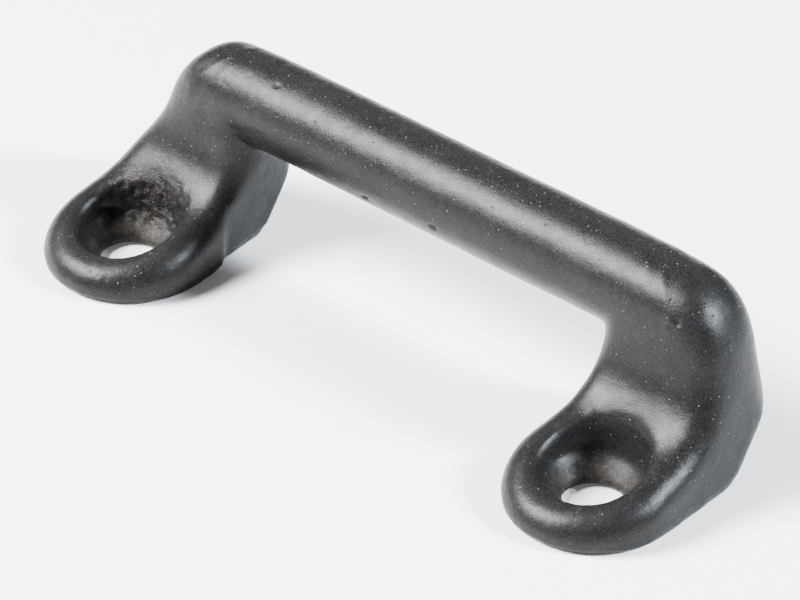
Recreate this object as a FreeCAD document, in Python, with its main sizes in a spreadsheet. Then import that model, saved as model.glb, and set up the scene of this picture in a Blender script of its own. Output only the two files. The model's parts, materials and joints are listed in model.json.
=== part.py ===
"""Sash lift handle: one iron casting with two countersunk feet, two legs and a round bar.

Frame: the origin is midway between the two screw holes, on the plane of the mounting face.
+X runs along the bar, +Y from the screw holes towards the bar, +Z out of the sash.
The right-hand foot and leg are built first, then mirrored, and the bar joins the two.
"""
import FreeCAD, Part
import math
import os

import Sketcher

DOCUMENT_NAME = "sash_lift_handle"
NODE = "handle_casting"

DIMENSIONS = [
    ("screw_spacing", 76.2, "between the centres of the two screw holes"),
    ("screw_hole_diameter", 6.8, "clears the shank of the wood screw"),
    ("screw_hole_land", 1.2, "straight wall at the bottom of the hole"),
    ("countersink_diameter", 12.2, "width of the countersink at its mouth"),
    ("mouth_depth", 2.9, "from the foot's top, over the middle of the hole, down to the cone"),
    ("lobe_radius", 10.8, "round end of the foot, about the screw hole"),
    ("foot_thickness", 6.7, "over the middle of the screw hole"),
    ("foot_rise", 16.0, "degrees that the foot's top climbs towards the leg"),
    ("inner_taper", 7.0, "degrees that the inner sides open towards the rear"),
    ("side_taper", 4.5, "degrees that the outer sides close in towards the rear"),
    ("lean_start", 0.6, "above the foot's top, where the outer side starts to lean in"),
    ("lean_radius", 20.0, "bend at the start of the lean"),
    ("side_lean", 9.0, "degrees that the outer side leans in"),
    ("bar_diameter", 11.6, "round bar"),
    ("bar_setback", 15.5, "from the screw holes back to the bar's axis"),
    ("bar_height", 20.0, "from the mounting face up to the bar's axis"),
    ("sweep_radius", 9.0, "hollow curve from the foot up to the leg's front"),
    ("elbow_radius", 12.0, "outer corner between the bar and the leg"),
    ("elbow_rise", 0.8, "how far above the bar the elbow's arc ends"),
    ("step_depth", 1.2, "how far the leg's inner side stands back from the lobe, at the bottom"),
    ("step_height", 13.0, "where the step has run out"),
    ("step_setback", 7.0, "from the screw holes back to the step"),
    ("relief_depth", 5.3, "cut under the leg's rear, along the mounting face"),
    ("relief_height", 6.8, "cut under the leg's rear, up the rear face"),
    ("relief_round", 5.0, "where the relief runs into the rear face"),
    ("edge_round", 3.5, "all round the feet and legs, as far as the foot's front is high enough"),
    ("edge_land", 0.1, "least straight wall left under the rounded edge"),
    ("lip_round", 1.4, "edge of the countersink"),
    ("cut_margin", 3.0, "how far a cut reaches past the metal that it removes"),
]
LINE_START, LINE_END, ARC_CENTRE = 1, 2, 3
ORIGIN = (-1, 1)
SKETCH_X_AXIS = -1
SKETCH_Y_AXIS = -2
CONFUSION = 0.01
SHARP_ANGLE = math.radians(3)


def add_sheet(doc):
    """Put the driving dimensions in a spreadsheet, one named cell each."""
    sheet = doc.addObject("Spreadsheet::Sheet", "Dimensions")
    for row, (alias, value, note) in enumerate(DIMENSIONS, start=1):
        sheet.set(f"A{row}", alias)
        sheet.set(f"B{row}", str(value))
        sheet.set(f"C{row}", note)
        sheet.setAlias(f"B{row}", alias)
    doc.recompute()
    return sheet


def origin_plane(body, role):
    """Find one of the body's own origin planes."""
    return next(item for item in body.Origin.OriginFeatures if item.Role == role)


def add_sketch(body, name, plane_role):
    """Start a sketch on one of the body's own origin planes."""
    sketch = body.newObject("Sketcher::SketchObject", name)
    sketch.AttachmentSupport = [(origin_plane(body, plane_role), "")]
    sketch.MapMode = "FlatFace"
    return sketch


def add_line(sketch, start, end):
    """Draw a straight line in the sketch's own plane."""
    line = Part.LineSegment(FreeCAD.Vector(*start, 0), FreeCAD.Vector(*end, 0))
    return sketch.addGeometry(line, False)


def add_arc(sketch, centre, radius, from_angle, to_angle):
    """Draw an arc anticlockwise between two angles in radians."""
    circle = Part.Circle(FreeCAD.Vector(*centre, 0), FreeCAD.Vector(0, 0, 1), radius)
    return sketch.addGeometry(Part.ArcOfCircle(circle, from_angle, to_angle), False)


def on_circle(centre, radius, angle):
    """Point of a circle at an angle in radians."""
    return centre[0] + radius * math.cos(angle), centre[1] + radius * math.sin(angle)


def fix(sketch, kind, *items):
    """Add a geometric constraint."""
    sketch.addConstraint(Sketcher.Constraint(kind, *items))


def size(sketch, formula, kind, *items):
    """Add a dimension whose value follows a formula of the spreadsheet's cells."""
    value = float(sketch.evalExpression(formula))
    if kind == "Angle":
        value = math.radians(value)
    index = sketch.addConstraint(Sketcher.Constraint(kind, *items, value))
    sketch.setExpression(f"Constraints[{index}]", formula)


def draw_rectangle(sketch, low, high):
    """Draw a rectangle from two corners, and give back its four lines."""
    corners = [low, (high[0], low[1]), high, (low[0], high[1])]
    lines = [add_line(sketch, corners[i], corners[(i + 1) % 4]) for i in range(4)]
    for i, direction in enumerate(("Horizontal", "Vertical", "Horizontal", "Vertical")):
        fix(sketch, "Coincident", lines[i], LINE_END, lines[(i + 1) % 4], LINE_START)
        fix(sketch, direction, lines[i])
    return lines


def draw_foot_plan(sketch, dim):
    """Foot and leg from above: a round lobe, with straight sides that run back from it."""
    centre = (dim.screw_spacing / 2, 0)
    radius = dim.lobe_radius
    opening = math.radians(dim.inner_taper)
    closing = math.radians(dim.side_taper)
    rear = dim.bar_setback + dim.bar_diameter / 2 + dim.cut_margin
    inner_touch = on_circle(centre, radius, math.pi - opening)
    inner_rear = inner_touch[0] + (rear - inner_touch[1]) * math.tan(opening)
    outer_touch = on_circle(centre, radius, closing)
    outer_rear = outer_touch[0] - (rear - outer_touch[1]) * math.tan(closing)

    lobe = add_arc(sketch, centre, radius, math.pi - opening, 2 * math.pi + closing)
    side = add_line(sketch, outer_touch, (outer_rear, rear))
    back = add_line(sketch, (outer_rear, rear), (inner_rear, rear))
    inner = add_line(sketch, (inner_rear, rear), inner_touch)
    fix(sketch, "Tangent", lobe, LINE_END, side, LINE_START)
    fix(sketch, "Coincident", side, LINE_END, back, LINE_START)
    fix(sketch, "Coincident", back, LINE_END, inner, LINE_START)
    fix(sketch, "Tangent", inner, LINE_END, lobe, LINE_START)
    fix(sketch, "Horizontal", back)
    fix(sketch, "PointOnObject", lobe, ARC_CENTRE, SKETCH_X_AXIS)
    size(sketch, "Dimensions.screw_spacing / 2", "DistanceX", *ORIGIN, lobe, ARC_CENTRE)
    size(sketch, "Dimensions.lobe_radius", "Radius", lobe)
    size(sketch, "90 - Dimensions.inner_taper", "Angle", SKETCH_X_AXIS, 1, inner, LINE_END)
    size(sketch, "90 + Dimensions.side_taper", "Angle", SKETCH_X_AXIS, 1, side, LINE_START)
    size(sketch, "Dimensions.bar_setback + Dimensions.bar_diameter / 2 + Dimensions.cut_margin",
         "DistanceY", *ORIGIN, back, LINE_START)


def draw_elbow_cut(sketch, dim):
    """Front view of what is cut away outside the leaning side and the rounded elbow."""
    outer = dim.screw_spacing / 2 + dim.lobe_radius / math.cos(math.radians(dim.side_taper))
    lean = math.radians(dim.side_lean)
    bend = dim.lean_radius
    start = dim.foot_thickness + dim.lean_start
    lean_point = (outer - bend * (1 - math.cos(lean)), start + bend * math.sin(lean))
    top = dim.bar_height + dim.bar_diameter / 2 + dim.elbow_rise
    radius = dim.elbow_radius
    centre_z = top - radius
    elbow_z = centre_z + radius * math.sin(lean)
    elbow_x = lean_point[0] - (elbow_z - lean_point[1]) * math.tan(lean)
    centre = (elbow_x - radius * math.cos(lean), centre_z)
    bottom = -dim.cut_margin
    ceiling = top + dim.cut_margin
    wall = outer + dim.cut_margin

    foot_side = add_line(sketch, (outer, bottom), (outer, start))
    bend_arc = add_arc(sketch, (outer - bend, start), bend, 0, lean)
    side = add_line(sketch, lean_point, (elbow_x, elbow_z))
    elbow = add_arc(sketch, centre, radius, lean, math.pi / 2)
    rise = add_line(sketch, (centre[0], top), (centre[0], ceiling))
    over = add_line(sketch, (centre[0], ceiling), (wall, ceiling))
    drop = add_line(sketch, (wall, ceiling), (wall, bottom))
    under = add_line(sketch, (wall, bottom), (outer, bottom))
    fix(sketch, "Tangent", foot_side, LINE_END, bend_arc, LINE_START)
    fix(sketch, "Tangent", bend_arc, LINE_END, side, LINE_START)
    fix(sketch, "Tangent", side, LINE_END, elbow, LINE_START)
    fix(sketch, "Perpendicular", elbow, LINE_END, rise, LINE_START)
    for line, after in ((rise, over), (over, drop), (drop, under), (under, foot_side)):
        fix(sketch, "Coincident", line, LINE_END, after, LINE_START)
    for line in (foot_side, rise, drop):
        fix(sketch, "Vertical", line)
    for line in (over, under):
        fix(sketch, "Horizontal", line)
    size(sketch, "Dimensions.screw_spacing / 2"
         " + Dimensions.lobe_radius / cos(Dimensions.side_taper * 1 deg)",
         "DistanceX", *ORIGIN, foot_side, LINE_START)
    size(sketch, "Dimensions.foot_thickness + Dimensions.lean_start",
         "DistanceY", *ORIGIN, foot_side, LINE_END)
    size(sketch, "Dimensions.lean_radius", "Radius", bend_arc)
    size(sketch, "90 + Dimensions.side_lean", "Angle", SKETCH_X_AXIS, 1, side, LINE_START)
    size(sketch, "Dimensions.elbow_radius", "Radius", elbow)
    size(sketch, "Dimensions.bar_height + Dimensions.bar_diameter / 2 + Dimensions.elbow_rise",
         "DistanceY", *ORIGIN, elbow, LINE_END)
    size(sketch, "Dimensions.cut_margin", "DistanceY", rise, LINE_START, rise, LINE_END)
    size(sketch, "Dimensions.cut_margin", "DistanceX", foot_side, LINE_START, drop, LINE_START)
    size(sketch, "Dimensions.cut_margin", "DistanceY", foot_side, LINE_START, *ORIGIN)


def draw_side_cut(sketch, dim):
    """Everything outside the side view of the foot and leg, as a frame round its outline."""
    radius = dim.bar_diameter / 2
    axis = (dim.bar_setback, dim.bar_height)
    front = axis[0] - radius
    rear = axis[0] + radius
    toe = -dim.lobe_radius - dim.cut_margin
    rise = math.radians(dim.foot_rise)
    hollow_y = front - dim.sweep_radius
    hollow_z = dim.foot_thickness + hollow_y * math.tan(rise) + dim.sweep_radius / math.cos(rise)
    hollow = (hollow_y, hollow_z)
    toe_top = (toe, dim.foot_thickness + toe * math.tan(rise))
    heel = (rear - dim.relief_depth, 0)
    relief = (rear, dim.relief_height)
    below = -dim.cut_margin

    foot_top = add_line(sketch, toe_top, on_circle(hollow, dim.sweep_radius, rise - math.pi / 2))
    sweep = add_arc(sketch, hollow, dim.sweep_radius, rise - math.pi / 2, 0)
    leg_front = add_line(sketch, (front, hollow[1]), (front, axis[1]))
    crown = add_arc(sketch, axis, radius, 0, math.pi)
    leg_rear = add_line(sketch, (rear, axis[1]), relief)
    slope = add_line(sketch, relief, heel)
    heel_drop = add_line(sketch, heel, (heel[0], below))
    bottom = add_line(sketch, (heel[0], below), (toe, below))
    toe_rise = add_line(sketch, (toe, below), toe_top)

    fix(sketch, "Tangent", foot_top, LINE_END, sweep, LINE_START)
    fix(sketch, "Tangent", sweep, LINE_END, leg_front, LINE_START)
    fix(sketch, "Tangent", leg_front, LINE_END, crown, LINE_END)
    fix(sketch, "Tangent", crown, LINE_START, leg_rear, LINE_START)
    for line, after in ((leg_rear, slope), (slope, heel_drop), (heel_drop, bottom),
                        (bottom, toe_rise), (toe_rise, foot_top)):
        fix(sketch, "Coincident", line, LINE_END, after, LINE_START)
    for line in (leg_front, leg_rear, heel_drop, toe_rise):
        fix(sketch, "Vertical", line)
    fix(sketch, "Horizontal", bottom)
    fix(sketch, "PointOnObject", slope, LINE_END, SKETCH_X_AXIS)
    size(sketch, "Dimensions.bar_setback", "DistanceX", *ORIGIN, crown, ARC_CENTRE)
    size(sketch, "Dimensions.bar_height", "DistanceY", *ORIGIN, crown, ARC_CENTRE)
    size(sketch, "Dimensions.bar_diameter / 2", "Radius", crown)
    size(sketch, "Dimensions.sweep_radius", "Radius", sweep)
    size(sketch, "Dimensions.foot_rise", "Angle", SKETCH_X_AXIS, 1, foot_top, LINE_START)
    size(sketch, "Dimensions.relief_height", "DistanceY", *ORIGIN, slope, LINE_START)
    size(sketch, "Dimensions.relief_depth", "DistanceX", slope, LINE_END, slope, LINE_START)
    size(sketch, "Dimensions.cut_margin", "DistanceY", bottom, LINE_START, *ORIGIN)
    size(sketch, "Dimensions.lobe_radius + Dimensions.cut_margin", "DistanceX",
         toe_rise, LINE_START, *ORIGIN)
    over_hole = sketch.addGeometry(Part.Point(FreeCAD.Vector(0, dim.foot_thickness, 0)), True)
    fix(sketch, "PointOnObject", over_hole, 1, SKETCH_Y_AXIS)
    fix(sketch, "PointOnObject", over_hole, 1, foot_top)
    size(sketch, "Dimensions.foot_thickness", "DistanceY", *ORIGIN, over_hole, 1)

    top = axis[1] + radius + 2 * dim.cut_margin
    low = (toe - dim.cut_margin, below - dim.cut_margin)
    high = (rear + 2 * dim.cut_margin, top)
    floor_line, rear_line, top_line, toe_line = draw_rectangle(sketch, low, high)
    size(sketch, "2 * Dimensions.cut_margin", "DistanceY", floor_line, LINE_START, *ORIGIN)
    size(sketch, "Dimensions.lobe_radius + 2 * Dimensions.cut_margin", "DistanceX",
         floor_line, LINE_START, *ORIGIN)
    size(sketch, "Dimensions.bar_setback + Dimensions.bar_diameter / 2 + 2 * Dimensions.cut_margin",
         "DistanceX", *ORIGIN, rear_line, LINE_START)
    size(sketch, "Dimensions.bar_height + Dimensions.bar_diameter / 2 + 2 * Dimensions.cut_margin",
         "DistanceY", *ORIGIN, top_line, LINE_START)


def draw_step(sketch, dim):
    """Front view of the sliver cut off the leg's inner side, behind the lobe."""
    taper = math.radians(dim.inner_taper)
    face = dim.screw_spacing / 2 - dim.lobe_radius / math.cos(taper) + dim.step_setback * math.tan(taper)
    slope = dim.step_depth / dim.step_height
    outside = face - dim.cut_margin
    low = -dim.cut_margin

    bottom = add_line(sketch, (outside, low), (face + dim.step_depth - low * slope, low))
    side = add_line(sketch, (face + dim.step_depth - low * slope, low), (face, dim.step_height))
    top = add_line(sketch, (face, dim.step_height), (outside, dim.step_height))
    drop = add_line(sketch, (outside, dim.step_height), (outside, low))
    for line, after in ((bottom, side), (side, top), (top, drop), (drop, bottom)):
        fix(sketch, "Coincident", line, LINE_END, after, LINE_START)
    for line in (bottom, top):
        fix(sketch, "Horizontal", line)
    fix(sketch, "Vertical", drop)
    size(sketch, "Dimensions.screw_spacing / 2"
         " - Dimensions.lobe_radius / cos(Dimensions.inner_taper * 1 deg)"
         " + Dimensions.step_setback * tan(Dimensions.inner_taper * 1 deg)",
         "DistanceX", *ORIGIN, side, LINE_END)
    size(sketch, "Dimensions.step_height", "DistanceY", *ORIGIN, side, LINE_END)
    size(sketch, "Dimensions.cut_margin", "DistanceX", top, LINE_END, top, LINE_START)
    size(sketch, "Dimensions.cut_margin", "DistanceY", bottom, LINE_START, *ORIGIN)
    floor_point = sketch.addGeometry(Part.Point(FreeCAD.Vector(face + dim.step_depth, 0, 0)), True)
    fix(sketch, "PointOnObject", floor_point, 1, SKETCH_X_AXIS)
    fix(sketch, "PointOnObject", floor_point, 1, side)
    size(sketch, "Dimensions.step_depth", "DistanceX", side, LINE_END, floor_point, 1)


def draw_hole_section(sketch, dim):
    """Half section of the countersunk screw hole, beside its axis."""
    bore = dim.screw_hole_diameter / 2
    mouth = dim.countersink_diameter / 2
    low = -dim.cut_margin
    land = dim.screw_hole_land
    brim = dim.foot_thickness - dim.mouth_depth
    high = dim.foot_thickness + 2 * dim.cut_margin

    axis = add_line(sketch, (0, high), (0, low))
    bottom = add_line(sketch, (0, low), (bore, low))
    wall = add_line(sketch, (bore, low), (bore, land))
    sink = add_line(sketch, (bore, land), (mouth, brim))
    clearance = add_line(sketch, (mouth, brim), (mouth, high))
    top = add_line(sketch, (mouth, high), (0, high))
    for line, after in ((axis, bottom), (bottom, wall), (wall, sink), (sink, clearance),
                        (clearance, top), (top, axis)):
        fix(sketch, "Coincident", line, LINE_END, after, LINE_START)
    for line in (bottom, top):
        fix(sketch, "Horizontal", line)
    for line in (wall, clearance):
        fix(sketch, "Vertical", line)
    for point in (LINE_START, LINE_END):
        fix(sketch, "PointOnObject", axis, point, SKETCH_Y_AXIS)
    size(sketch, "Dimensions.cut_margin", "DistanceY", axis, LINE_END, *ORIGIN)
    size(sketch, "Dimensions.screw_hole_diameter / 2", "DistanceX", *ORIGIN, wall, LINE_START)
    size(sketch, "Dimensions.screw_hole_land", "DistanceY", *ORIGIN, wall, LINE_END)
    size(sketch, "Dimensions.foot_thickness + 2 * Dimensions.cut_margin",
         "DistanceY", *ORIGIN, axis, LINE_START)
    size(sketch, "Dimensions.countersink_diameter / 2", "DistanceX", *ORIGIN, sink, LINE_END)
    size(sketch, "Dimensions.foot_thickness - Dimensions.mouth_depth", "DistanceY", *ORIGIN, sink, LINE_END)


def middle(edge):
    """Point halfway along an edge."""
    return edge.valueAt((edge.FirstParameter + edge.LastParameter) / 2)


def is_sharp(shape, edge):
    """True where the two faces of an edge meet at an angle."""
    point = middle(edge)
    normals = []
    for face in shape.ancestorsOfType(edge, Part.Face)[:2]:
        normals.append(face.normalAt(*face.Surface.parameter(point)))
    return len(normals) == 2 and normals[0].getAngle(normals[1]) > SHARP_ANGLE


def sharp_edges(shape, wanted):
    """Names of the sharp edges whose middle passes the test."""
    return [f"Edge{number}" for number, edge in enumerate(shape.Edges, start=1)
            if is_sharp(shape, edge) and wanted(middle(edge))]


def add_cut(doc, body, sketch, name, skew=None):
    """Cut a sketch through the body both ways, and make sure that it removed metal."""
    before = body.Tip.Shape.Volume
    cut = body.newObject("PartDesign::Pocket", name)
    cut.Profile = sketch
    cut.Type = "ThroughAll"
    cut.Midplane = True
    if skew:
        cut.UseCustomVector = True
        cut.Direction = FreeCAD.Vector(0, 1, 0)
        cut.setExpression("Direction.x", skew)
    doc.recompute()
    if not cut.Shape.Volume < before:
        raise RuntimeError(f"{name} removed nothing")
    return cut


def add_rounding(doc, body, name, radius, wanted):
    """Round the sharp edges of the body's last feature that pass the test."""
    base = body.Tip
    edges = sharp_edges(base.Shape, wanted)
    if not edges:
        raise RuntimeError(f"{name} found no edge")
    rounding = body.newObject("PartDesign::Fillet", name)
    rounding.Base = (base, edges)
    rounding.setExpression("Radius", radius)
    doc.recompute()
    return rounding


def add_leg(doc, body, dim):
    """Foot and leg on the right: one block, cut to its front view and side view, then rounded."""
    plan = add_sketch(body, "foot_plan", "XY_Plane")
    draw_foot_plan(plan, dim)
    block = body.newObject("PartDesign::Pad", "foot_block")
    block.Profile = plan
    block.setExpression("Length", "Dimensions.bar_height + Dimensions.bar_diameter")
    doc.recompute()

    front_view = add_sketch(body, "front_view", "XZ_Plane")
    draw_elbow_cut(front_view, dim)
    doc.recompute()
    add_cut(doc, body, front_view, "elbow_cut", skew="-tan(Dimensions.side_taper * 1 deg)")
    side_view = add_sketch(body, "side_view", "YZ_Plane")
    draw_side_cut(side_view, dim)
    doc.recompute()
    add_cut(doc, body, side_view, "side_cut")

    rear = dim.bar_setback + dim.bar_diameter / 2
    add_rounding(doc, body, "relief_rounding", "Dimensions.relief_round",
                 lambda p: abs(p.y - rear) < CONFUSION and abs(p.z - dim.relief_height) < CONFUSION)
    front_height = "Dimensions.foot_thickness - Dimensions.lobe_radius * tan(Dimensions.foot_rise * 1 deg)"
    add_rounding(doc, body, "edge_rounding",
                 f"min(Dimensions.edge_round; {front_height} - Dimensions.edge_land)",
                 lambda p: p.y < -dim.lobe_radius / 2 and p.z > CONFUSION)


def add_step(doc, body, dim):
    """Set the leg's inner side back behind the lobe, most at the bottom."""
    sliver = add_sketch(body, "step_section", "XZ_Plane")
    sliver.setExpression(".AttachmentOffset.Base.z", "-Dimensions.step_setback")
    draw_step(sliver, dim)
    doc.recompute()
    before = body.Tip.Shape.Volume
    step = body.newObject("PartDesign::Pocket", "inner_step")
    step.Profile = sliver
    step.Type = "ThroughAll"
    step.UseCustomVector = True
    step.Direction = FreeCAD.Vector(0, 1, 0)
    step.setExpression("Direction.x", "tan(Dimensions.inner_taper * 1 deg)")
    doc.recompute()
    if not step.Shape.Volume < before:
        raise RuntimeError("inner_step removed nothing")


def add_screw_hole(doc, body, dim):
    """Countersunk hole through the foot, with its lip rounded."""
    section = add_sketch(body, "hole_section", "XZ_Plane")
    section.setExpression(".AttachmentOffset.Base.x", "Dimensions.screw_spacing / 2")
    draw_hole_section(section, dim)
    doc.recompute()
    before = body.Tip.Shape.Volume
    hole = body.newObject("PartDesign::Groove", "screw_hole")
    hole.Profile = section
    hole.ReferenceAxis = (section, ["V_Axis"])
    hole.Angle = 360
    doc.recompute()
    if not hole.Shape.Volume < before:
        raise RuntimeError("screw_hole removed nothing")
    mouth = dim.countersink_diameter / 2
    brim = dim.foot_thickness - dim.mouth_depth
    add_rounding(doc, body, "lip_rounding", "Dimensions.lip_round",
                 lambda p: p.z > brim + CONFUSION
                 and abs(math.hypot(p.x - dim.screw_spacing / 2, p.y) - mouth) < CONFUSION)


def add_bar(doc, body):
    """Round bar between the legs."""
    section = add_sketch(body, "bar_section", "YZ_Plane")
    circle = section.addGeometry(Part.Circle(FreeCAD.Vector(0, 0, 0), FreeCAD.Vector(0, 0, 1), 1), False)
    size(section, "Dimensions.bar_setback", "DistanceX", *ORIGIN, circle, ARC_CENTRE)
    size(section, "Dimensions.bar_height", "DistanceY", *ORIGIN, circle, ARC_CENTRE)
    size(section, "Dimensions.bar_diameter / 2", "Radius", circle)
    bar = body.newObject("PartDesign::Pad", "bar")
    bar.Profile = section
    bar.Midplane = True
    bar.setExpression("Length", "Dimensions.screw_spacing - Dimensions.bar_diameter / 2")
    doc.recompute()
    return bar


def add_mirror(doc, body):
    """Left-hand foot and leg, as the mirror image of the right-hand ones."""
    mirror = body.newObject("PartDesign::Mirrored", "left_leg")
    mirror.TransformMode = "Whole shape"
    mirror.MirrorPlane = (origin_plane(body, "YZ_Plane"), [""])
    body.Tip = mirror
    doc.recompute()


def build():
    """Make the parametric document and give back its one casting."""
    doc = FreeCAD.newDocument(DOCUMENT_NAME)
    dim = add_sheet(doc)
    body = doc.addObject("PartDesign::Body", NODE)
    body.Label = NODE
    add_leg(doc, body, dim)
    add_step(doc, body, dim)
    add_screw_hole(doc, body, dim)
    add_bar(doc, body)
    add_mirror(doc, body)
    return doc, body


def check(doc, body):
    """Stop if any object failed, or if the casting is not one valid solid."""
    for item in doc.Objects:
        if "Invalid" in item.State or "Error" in item.State:
            raise RuntimeError(f"{item.Name} failed")
        if item.isDerivedFrom("Sketcher::SketchObject") and not item.FullyConstrained:
            raise RuntimeError(f"{item.Name} is not fully constrained")
    shape = body.Shape
    if shape.isNull() or not shape.isValid() or len(shape.Solids) != 1:
        raise RuntimeError(f"{body.Label} is not one valid solid")


doc, casting = build()
check(doc, casting)
os.makedirs("parts", exist_ok=True)
casting.Shape.exportStep(f"parts/{casting.Label}.step")
box = casting.Shape.BoundBox
print(f"{casting.Label}: {box.XLength:.2f} x {box.YLength:.2f} x {box.ZLength:.2f} mm,"
      f" {casting.Shape.Volume:.0f} cubic mm")
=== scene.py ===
"""Looks of the sash lift handle: one iron casting with a satin black coat, on a pale floor.

Metres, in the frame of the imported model: X along the bar, +Y towards the bar, +Z out of the sash.
"""
import json
import math
import random

import bmesh
import bpy
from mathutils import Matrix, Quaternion, Vector, kdtree, noise


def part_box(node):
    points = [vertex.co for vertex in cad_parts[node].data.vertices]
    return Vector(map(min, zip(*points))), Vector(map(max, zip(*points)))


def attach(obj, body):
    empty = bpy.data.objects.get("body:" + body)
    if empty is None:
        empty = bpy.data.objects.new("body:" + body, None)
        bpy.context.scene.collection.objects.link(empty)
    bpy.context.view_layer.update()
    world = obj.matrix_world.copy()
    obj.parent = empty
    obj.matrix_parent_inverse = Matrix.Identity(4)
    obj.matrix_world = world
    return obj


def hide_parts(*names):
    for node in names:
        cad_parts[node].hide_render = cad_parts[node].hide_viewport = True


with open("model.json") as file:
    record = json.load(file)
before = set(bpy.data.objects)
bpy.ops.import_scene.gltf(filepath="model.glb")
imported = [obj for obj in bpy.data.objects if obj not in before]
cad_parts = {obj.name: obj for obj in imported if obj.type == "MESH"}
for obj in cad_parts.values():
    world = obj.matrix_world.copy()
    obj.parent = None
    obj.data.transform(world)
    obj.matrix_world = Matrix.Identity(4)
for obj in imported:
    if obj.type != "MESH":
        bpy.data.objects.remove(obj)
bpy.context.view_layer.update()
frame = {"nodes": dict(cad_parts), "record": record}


# ---------------------------------------------------------------------------------------------
# Handle casting: feet, legs and bar poured as one piece of iron in a sand mould. The flash is
# ground off, the corners are tumbled soft, and the whole is dipped in a thin satin black coat.
# The skin keeps the mould's faint waves and a scatter of gas pits.
# ---------------------------------------------------------------------------------------------
MM = 0.001
casting_low, casting_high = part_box("handle_casting")
mounts = {mount["name"]: mount for mount in frame["record"]["mounts"]}
hole_x = mounts["screw_holes"]["dims"]["spacing_x_mm"] / 2 * MM
skin_face = 0.34 * MM

bm = bmesh.new()
bm.from_mesh(frame["nodes"]["handle_casting"].data)
same_place = 0.001 * MM
bmesh.ops.remove_doubles(bm, verts=bm.verts, dist=same_place)
casting_mesh = bpy.data.meshes.new("casting")
bm.to_mesh(casting_mesh)
bm.free()
casting = bpy.data.objects.new("casting", casting_mesh)
bpy.context.scene.collection.objects.link(casting)

# An even skin of small faces, so that the smoothing and the cast surface are the same all over.
skin = casting.modifiers.new("even_skin", "REMESH")
skin.mode = "VOXEL"
skin.voxel_size = skin_face
depsgraph = bpy.context.evaluated_depsgraph_get()
skinned = bpy.data.meshes.new_from_object(casting.evaluated_get(depsgraph))
casting.modifiers.remove(skin)
casting.data = skinned
casting.data.name = "casting"

bm = bmesh.new()
bm.from_mesh(casting.data)


def soften(verts, rounds):
    """Work the skin down where it is sharp, and fill it where it is hollow."""
    for _ in range(rounds):
        bmesh.ops.smooth_vert(bm, verts=verts, factor=0.5,
                              use_axis_x=True, use_axis_y=True, use_axis_z=True)


def near(centre, reach):
    """The skin within reach of a place."""
    return [v for v in bm.verts if (v.co - centre).length < reach]


soften(bm.verts, 5)

# The edge that was ground along the mounting face is worn even.
ground_edge = 1.6 * MM
soften([v for v in bm.verts if v.co.z < ground_edge], 40)

# The elbows turn like a bent bar, rounder than the rest, more so towards their outer corner.
elbow_inset = Vector((2.5, 1.5, 1.0)) * MM
for side in (-1, 1):
    elbow = Vector(casting_high) - elbow_inset
    elbow.x *= side
    for reach, rounds in ((16 * MM, 40), (14 * MM, 50), (12 * MM, 80)):
        soften(near(elbow, reach), rounds)

# So do the outer corners of the legs, front and rear, from the sweep up to the elbow.
leg_side = 45.8 * MM
leg_front, leg_rear = 10.8 * MM, 20.2 * MM
for side in (-1, 1):
    for depth in (leg_front, leg_rear):
        for height in range(9, 22, 2):
            soften(near(Vector((side * leg_side, depth, height * MM)), 5.5 * MM), 9)

# The countersinks' rear lips run softly into the sweep of the leg.
for side in (-1, 1):
    rear_lip = Vector((side * hole_x, 6.0 * MM, 8.6 * MM))
    for reach, rounds in ((6.5 * MM, 30), (5.0 * MM, 40)):
        soften(near(rear_lip, reach), rounds)

# The inner side of each foot ends in a soft corner where the leg steps back.
step_x, step_y = 28.3 * MM, 7.0 * MM
for side in (-1, 1):
    for height in (1.0, 3.5, 6.0):
        soften(near(Vector((side * step_x, step_y, height * MM)), 2.4 * MM), 12)

# The cone and the straight mouth of each countersink were cored as one hollow.
for side in (-1, 1):
    soften(near(Vector((side * hole_x, 0, 4.4 * MM)), 6.9 * MM), 14)


def fraction(value):
    """Keep a value between 0 and 1."""
    return min(1.0, max(0.0, value))


def ease(value):
    """0 to 1 with soft ends."""
    value = fraction(value)
    return value * value * (3 - 2 * value)


# The pattern's left leg was carved slimmer and leans further in than the right one, mostly on
# its outer side. The lean grows from above the foot up to the bar. Everything here is in mm.
for v in bm.verts:
    out, up = -v.co.x / MM, v.co.z / MM
    if out > 20:
        climb = ease((up - 5.5) / 12)
        inner_shift = 0.7 * ease((out - 20) / 10)
        outer_shift = 2.2 * ease((out - 29) / 15)
        v.co.x += climb * (inner_shift + outer_shift) * MM

# The metal runs in a small curve where the bar meets each leg.
crook_x, crook_reach, crook_bottom = 30.0 * MM, 3.0 * MM, 9 * MM
for side in (-1, 1):
    soften([v for v in bm.verts
            if abs(v.co.x - side * crook_x) < crook_reach and v.co.z > crook_bottom], 8)

# Waves and orange peel of the cast skin, and the pitted rear wall of the left countersink, in mm.
# The skin lies sink inside the drawn surface, so that no wave stands out of it.
sink = 0.05
bm.normal_update()
left_hole = Vector((-hole_x / MM, 0, 0))
moved = {}
for v in bm.verts:
    at = v.co / MM
    clear_of_ground = fraction(at.z / 1.2)
    wave = 0.06 * noise.noise(at * 0.16) + 0.02 * noise.noise(at * 0.42 + Vector((7, 3, 1)))
    peel = 0.012 * noise.noise(at * 1.15 + Vector((1, 9, 4)))
    away = at - left_hole
    on_wall = fraction(1.0 - abs(away.xy.length - 5.0) / 2.6)
    behind_hole = fraction((away.y + 0.5) / 2.0)
    above_land = fraction((at.z - 2.0) / 1.5) if at.z < 9.5 else 0.0
    lumps = 0.4 * noise.noise(at * 0.9) + 0.25 * noise.noise(at * 1.6 + Vector((3, 3, 8)))
    rough = on_wall * behind_hole * above_land * (lumps - 0.12)
    moved[v] = v.normal * ((wave + peel - sink) * clear_of_ground + rough) * MM
for v, step in moved.items():
    v.co += step

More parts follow.
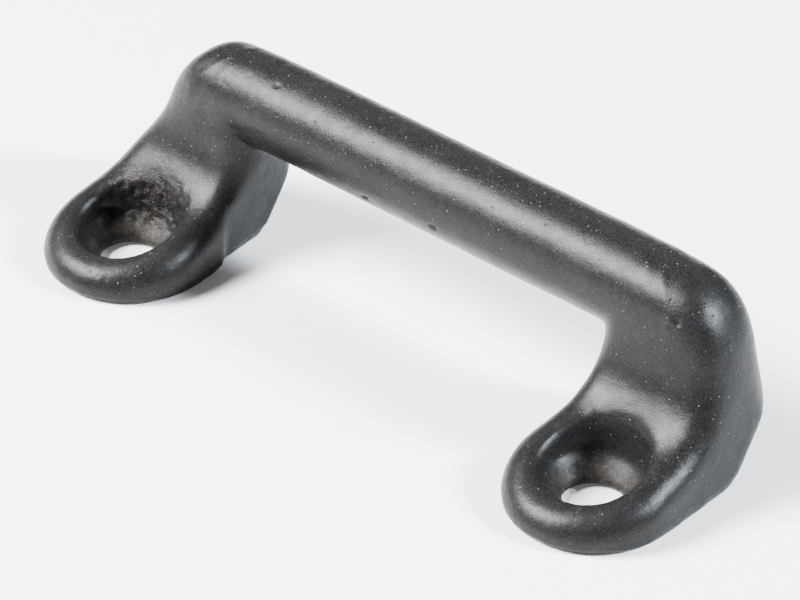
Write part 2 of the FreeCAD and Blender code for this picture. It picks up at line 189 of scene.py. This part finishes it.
# Gas pits and knocks: place on the skin, radius and depth in mm. The chosen ones are on the bar,
# on the left foot's lip, by the right elbow and in the right foot's countersink.
knocks = [
    ((-8.2, 10.4, 17.3), 0.55, 0.34), ((3.4, 10.0, 18.2), 0.55, 0.36), ((-25.4, 12.7, 25.0), 0.5, 0.12),
    ((-28.1, 16.3, 25.7), 0.5, 0.12), ((-35.3, -9.3, 4.1), 0.5, 0.07), ((-34.6, -9.5, 3.7), 0.4, 0.06),
    ((40.9, 10.1, 21.6), 0.6, 0.22), ((40.2, 9.9, 20.8), 0.5, 0.2), ((34.1, 1.4, 2.6), 0.8, 0.2),
]
small_pits = 60
random.seed(11)
upper_skin = [v for v in bm.verts if v.co.z > 2 * MM]
for _ in range(small_pits):
    place = random.choice(upper_skin).co / MM
    knocks.append((tuple(place), random.uniform(0.35, 0.5), random.uniform(0.02, 0.06)))
bm.normal_update()
bm.verts.ensure_lookup_table()
finder = kdtree.KDTree(len(bm.verts))
for v in bm.verts:
    finder.insert(v.co, v.index)
finder.balance()
for place, radius, depth in knocks:
    centre = finder.find(Vector(place) * MM)[0]
    for _, index, gap in finder.find_range(centre, radius * MM):
        struck = bm.verts[index]
        hollow = 1 - (gap / MM / radius) ** 2
        struck.co -= struck.normal * depth * hollow * MM

# Nothing sinks below the mounting face, and the feet stay flat on it.
for v in bm.verts:
    v.co.z = max(v.co.z, casting_low.z)
for f in bm.faces:
    f.smooth = True
bm.to_mesh(casting.data)
bm.free()

coat = bpy.data.materials.new("satin_black_coat")
coat.use_nodes = True
nodes, links = coat.node_tree.nodes, coat.node_tree.links
shader = nodes["Principled BSDF"]
MIX_AMOUNT, MIX_UNDER, MIX_OVER, MIX_RESULT = 0, 6, 7, 2


def node(kind, label, **settings):
    """Add a node and set its plain settings."""
    made = nodes.new(kind)
    made.label = label
    for name, value in settings.items():
        setattr(made, name, value)
    return made


place_on_piece = node("ShaderNodeTexCoord", "place on the piece")


def grain(label, size_mm, detail=2.0, roughness=0.5, seed=(0, 0, 0)):
    """Noise whose lumps are about size_mm across on the piece."""
    shift = node("ShaderNodeMapping", label + " place")
    shift.inputs["Location"].default_value = seed
    links.new(place_on_piece.outputs["Object"], shift.inputs["Vector"])
    made = node("ShaderNodeTexNoise", label)
    made.inputs["Scale"].default_value = 1 / (size_mm * MM)
    made.inputs["Detail"].default_value = detail
    made.inputs["Roughness"].default_value = roughness
    links.new(shift.outputs["Vector"], made.inputs["Vector"])
    return made.outputs["Fac"]


def ramp(label, value, stops):
    """Colour ramp over a value; each stop is a position and a grey or a colour."""
    made = node("ShaderNodeValToRGB", label)
    band = made.color_ramp
    while len(band.elements) < len(stops):
        band.elements.new(0.5)
    for element, (at, shade) in zip(band.elements, stops):
        element.position = at
        element.color = (*shade, 1) if isinstance(shade, tuple) else (shade, shade, shade, 1)
    links.new(value, made.inputs["Fac"])
    return made.outputs["Color"]


def math_node(label, operation, *values):
    """Arithmetic on values or sockets."""
    made = node("ShaderNodeMath", label, operation=operation)
    for i, value in enumerate(values):
        if isinstance(value, (int, float)):
            made.inputs[i].default_value = value
        else:
            links.new(value, made.inputs[i])
    return made.outputs[0]


def mix(label, amount, under, over):
    """Lay one colour over another by an amount."""
    made = node("ShaderNodeMix", label, data_type="RGBA")
    links.new(amount, made.inputs[MIX_AMOUNT])
    for socket, value in ((made.inputs[MIX_UNDER], under), (made.inputs[MIX_OVER], over)):
        if isinstance(value, tuple):
            socket.default_value = (*value, 1)
        else:
            links.new(value, socket)
    return made.outputs[MIX_RESULT]


def cells(label, size_mm):
    """One small cell about every size_mm across the piece."""
    made = node("ShaderNodeTexVoronoi", label, feature="F1")
    made.inputs["Scale"].default_value = 1 / (size_mm * MM)
    links.new(place_on_piece.outputs["Object"], made.inputs["Vector"])
    return made


def fading(label, gap, inner_mm, outer_mm):
    """1 where a distance is inside inner_mm, falling to 0 at outer_mm."""
    fall = node("ShaderNodeMapRange", label, interpolation_type="SMOOTHSTEP")
    fall.inputs["From Min"].default_value = outer_mm * MM
    fall.inputs["From Max"].default_value = inner_mm * MM
    links.new(gap, fall.inputs["Value"])
    return fall.outputs["Result"]


def round_place(label, centre_mm, inner_mm, outer_mm):
    """1 inside inner_mm of a place, falling to 0 at outer_mm."""
    gap = node("ShaderNodeVectorMath", label + " gap", operation="DISTANCE")
    gap.inputs[1].default_value = [c * MM for c in centre_mm]
    links.new(place_on_piece.outputs["Object"], gap.inputs[0])
    return fading(label, gap.outputs["Value"], inner_mm, outer_mm)


# Coat colour: near black and a little uneven, with the sand's grain paler in it.
patches = grain("coat patches", 5.0, 3.0, 0.6)
coat_colour = ramp("black coat", patches, [(0.3, (0.002, 0.0019, 0.0019)), (0.7, (0.005, 0.0048, 0.0047))])
sand = grain("sand grain", 0.2, 2.0, 0.6)
grain_tone = ramp("grain tone", sand, [(0.4, 0.0), (0.66, 1.0)])
grain_share = math_node("share of grain", "MULTIPLY", grain_tone, 0.4)
coat_colour = mix("grain in the coat", grain_share, coat_colour, (0.02, 0.02, 0.02))

# Tiny pale specks where grains of sand show through the coat, most on the left hole's rear wall, where the
# extra specks are painted glints.
rough_wall = round_place("rough wall", (-hole_x / MM - 1.5, 5.0, 6.5), 2.0, 6.5)
speck_cells = cells("speck cells", 0.42)
speck_dots = ramp("speck dots", speck_cells.outputs["Distance"], [(0.1, 1.0), (0.22, 0.0)])
cell_draw = node("ShaderNodeSeparateColor", "a random value for each cell")
links.new(speck_cells.outputs["Color"], cell_draw.inputs["Color"])
chosen = ramp("chosen cells", cell_draw.outputs["Red"], [(0.6, 0.0), (0.9, 0.3), (1.0, 1.0)])
specks = math_node("specks", "MULTIPLY", speck_dots, chosen)
# Painted glints: the rough wall gets up to twice the pale specks, standing in for the sparkle of light on
# it.
speck_and_glint_strength = math_node("painted glints on the rough wall", "ADD", 0.9, rough_wall)
speck_and_glint_share = math_node("share of specks", "MULTIPLY", specks, speck_and_glint_strength)
coat_colour = mix("specks and painted glints on the coat", speck_and_glint_share, coat_colour, (0.17, 0.16, 0.145))

# Inside the screw holes the coat is thin, brown-grey and dusty.
split = node("ShaderNodeSeparateXYZ", "x, y and z")
links.new(place_on_piece.outputs["Object"], split.inputs["Vector"])
x, y = split.outputs["X"], split.outputs["Y"]
from_hole = math_node("x from the hole", "SUBTRACT", math_node("either side", "ABSOLUTE", x), hole_x)
hole_square = math_node("hole distance squared", "ADD",
                        math_node("x squared", "MULTIPLY", from_hole, from_hole),
                        math_node("y squared", "MULTIPLY", y, y))
hole_gap = math_node("distance from the hole", "SQRT", hole_square)
in_hole = fading("inside the hole", hole_gap, 4.2, 6.2)
dust = ramp("dust", grain("dust patches", 1.1, 4.0, 0.7, (3, 1, 2)), [(0.3, 0.15), (0.7, 0.9)])
hole_wear = math_node("hole wear", "MULTIPLY", in_hole, dust)
worn_tone = ramp("bare iron", grain("bare iron patches", 0.6, 4.0, 0.7, (5, 2, 9)),
                 [(0.3, (0.006, 0.005, 0.004)), (0.55, (0.018, 0.015, 0.012)),
                  (0.75, (0.07, 0.062, 0.053))])
coat_colour = mix("worn holes", hole_wear, coat_colour, worn_tone)

# The left countersink's rear wall is rough and rusty, and a rust bloom sits under the left elbow.
rust_patches = ramp("wall rust patches", grain("wall rust", 0.8, 4.0, 0.7, (1, 1, 7)),
                    [(0.52, 0.0), (0.75, 0.5)])
wall_rust = math_node("rust on the wall", "MULTIPLY", rough_wall, rust_patches)
coat_colour = mix("rusty wall", wall_rust, coat_colour, (0.07, 0.052, 0.04))
bloom_patches = ramp("bloom patches", grain("bloom grain", 0.9, 4.0, 0.7, (2, 8, 1)),
                     [(0.45, 0.0), (0.6, 1.0)])
under_elbow = round_place("bloom", (-28.5, 16.7, 12.8), 0.5, 2.0)
bloom = math_node("rust bloom", "MULTIPLY", under_elbow, bloom_patches)
coat_colour = mix("bloom on the coat", bloom, coat_colour, (0.12, 0.05, 0.02))
links.new(coat_colour, shader.inputs["Base Color"])

# Satin gloss, a little uneven, and dull in the holes and on the rusty wall.
gloss = ramp("gloss", grain("gloss patches", 2.2, 4.0, 0.6, (4, 4, 4)), [(0.3, 0.3), (0.7, 0.4)])
dull = math_node("dull places", "MAXIMUM", hole_wear, wall_rust)
gloss = mix("duller holes", dull, gloss, (0.75, 0.75, 0.75))
links.new(gloss, shader.inputs["Roughness"])
shader.inputs["Specular IOR Level"].default_value = 0.12

# Sandy grain and fine pits in the coat.
fine = grain("fine grain", 0.11, 2.0, 0.6, (6, 1, 1))
lumps = grain("soft lumps", 1.3, 2.0, 0.5, (2, 2, 2))
pits = ramp("pits", cells("pit cells", 2.4).outputs["Distance"], [(0.04, 0.0), (0.1, 1.0)])
crust = math_node("crust", "MULTIPLY", rough_wall, grain("crust grain", 0.4, 3.0, 0.7, (9, 2, 4)))
height = math_node("sand height", "MULTIPLY", sand, 0.5)
for part, value, share in (("fine grain", fine, 0.3), ("lumps", lumps, 0.8), ("pits", pits, 0.8),
                           ("specks", specks, 0.5), ("crust", crust, 5.0)):
    share_of_part = math_node(part + " height", "MULTIPLY", value, share)
    height = math_node("with " + part, "ADD", height, share_of_part)
relief = node("ShaderNodeBump", "cast skin")
relief.inputs["Strength"].default_value = 1.0
relief.inputs["Distance"].default_value = 0.05 * MM
links.new(height, relief.inputs["Height"])
links.new(relief.outputs["Normal"], shader.inputs["Normal"])
casting.data.materials.clear()
casting.data.materials.append(coat)

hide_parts("handle_casting")
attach(casting, "root")


# ---------------------------------------------------------------------------------------------
# Floor: a plain matt pale sheet that the handle stands on, a hair under its mounting face.
# ---------------------------------------------------------------------------------------------
bm = bmesh.new()
floor_gap = 0.02 * MM
bmesh.ops.create_grid(bm, x_segments=1, y_segments=1, size=3.0)
bmesh.ops.translate(bm, verts=bm.verts, vec=(0, 0, casting_low.z - floor_gap))
floor_mesh = bpy.data.meshes.new("floor")
bm.to_mesh(floor_mesh)
bm.free()
floor = bpy.data.objects.new("floor", floor_mesh)
bpy.context.scene.collection.objects.link(floor)
sheet = bpy.data.materials.new("pale_sheet")
sheet.use_nodes = True
sheet_shader = sheet.node_tree.nodes["Principled BSDF"]
sheet_shader.inputs["Base Color"].default_value = (0.7, 0.7, 0.7, 1)
sheet_shader.inputs["Roughness"].default_value = 0.9
sheet_shader.inputs["Emission Color"].default_value = (1, 1, 1, 1)
sheet_shader.inputs["Emission Strength"].default_value = 0.1
floor.data.materials.append(sheet)


# ---------------------------------------------------------------------------------------------
# Light: a dim white room, one large softbox above and in front on the left, a small bluish one on
# the right for the rim of the right-hand elbow, and a weak broad one behind.
# ---------------------------------------------------------------------------------------------
room = bpy.data.worlds.new("room")
room.use_nodes = True
room.node_tree.nodes["Background"].inputs["Color"].default_value = (1, 1, 1, 1)
room.node_tree.nodes["Background"].inputs["Strength"].default_value = 0.06
bpy.context.scene.world = room
middle_of_handle = Vector((0, 8, 10)) * MM


def softbox(name, azimuth, elevation, distance, width, height, power, colour=(1, 1, 1)):
    """Area light aimed at the handle. Azimuth 0 is in front of it, and 90 on its right."""
    a, e = math.radians(azimuth), math.radians(elevation)
    towards = Vector((math.sin(a) * math.cos(e), -math.cos(a) * math.cos(e), math.sin(e)))
    lamp = bpy.data.lights.new(name, "AREA")
    lamp.shape = "RECTANGLE"
    lamp.size = width
    lamp.size_y = height
    lamp.energy = power
    lamp.color = colour
    box = bpy.data.objects.new(name, lamp)
    box.location = middle_of_handle + towards * distance
    box.rotation_mode = "QUATERNION"
    box.rotation_quaternion = (-towards).to_track_quat("-Z", "Y")
    bpy.context.scene.collection.objects.link(box)


softbox("main_softbox", azimuth=-46, elevation=44, distance=1.0, width=0.5, height=0.44, power=92)
softbox("side_softbox", azimuth=116, elevation=35, distance=0.9, width=0.12, height=0.17, power=42,
        colour=(0.84, 0.92, 1.0))
softbox("back_softbox", azimuth=216, elevation=34, distance=1.2, width=1.3, height=0.5, power=2)


# ---------------------------------------------------------------------------------------------
# Camera: a long lens, from the front and to the right, looking down at the feet.
# ---------------------------------------------------------------------------------------------
camera_azimuth = math.radians(42.55)
camera_elevation = math.radians(32.23)
camera_roll = math.radians(1.02)
aim = Vector((0.84, 7.05, 8.32)) * MM
distance = 604.7 * MM
back = Vector((math.sin(camera_azimuth) * math.cos(camera_elevation),
               -math.cos(camera_azimuth) * math.cos(camera_elevation), math.sin(camera_elevation)))
lens = bpy.data.cameras.new("camera")
lens.lens = 227.6
lens.sensor_width = 36
lens.clip_start = 0.01
camera = bpy.data.objects.new("camera", lens)
camera.location = aim + back * distance
camera.rotation_mode = "QUATERNION"
camera.rotation_quaternion = Quaternion(back, camera_roll) @ (-back).to_track_quat("-Z", "Y")
bpy.context.scene.collection.objects.link(camera)
bpy.context.scene.camera = camera
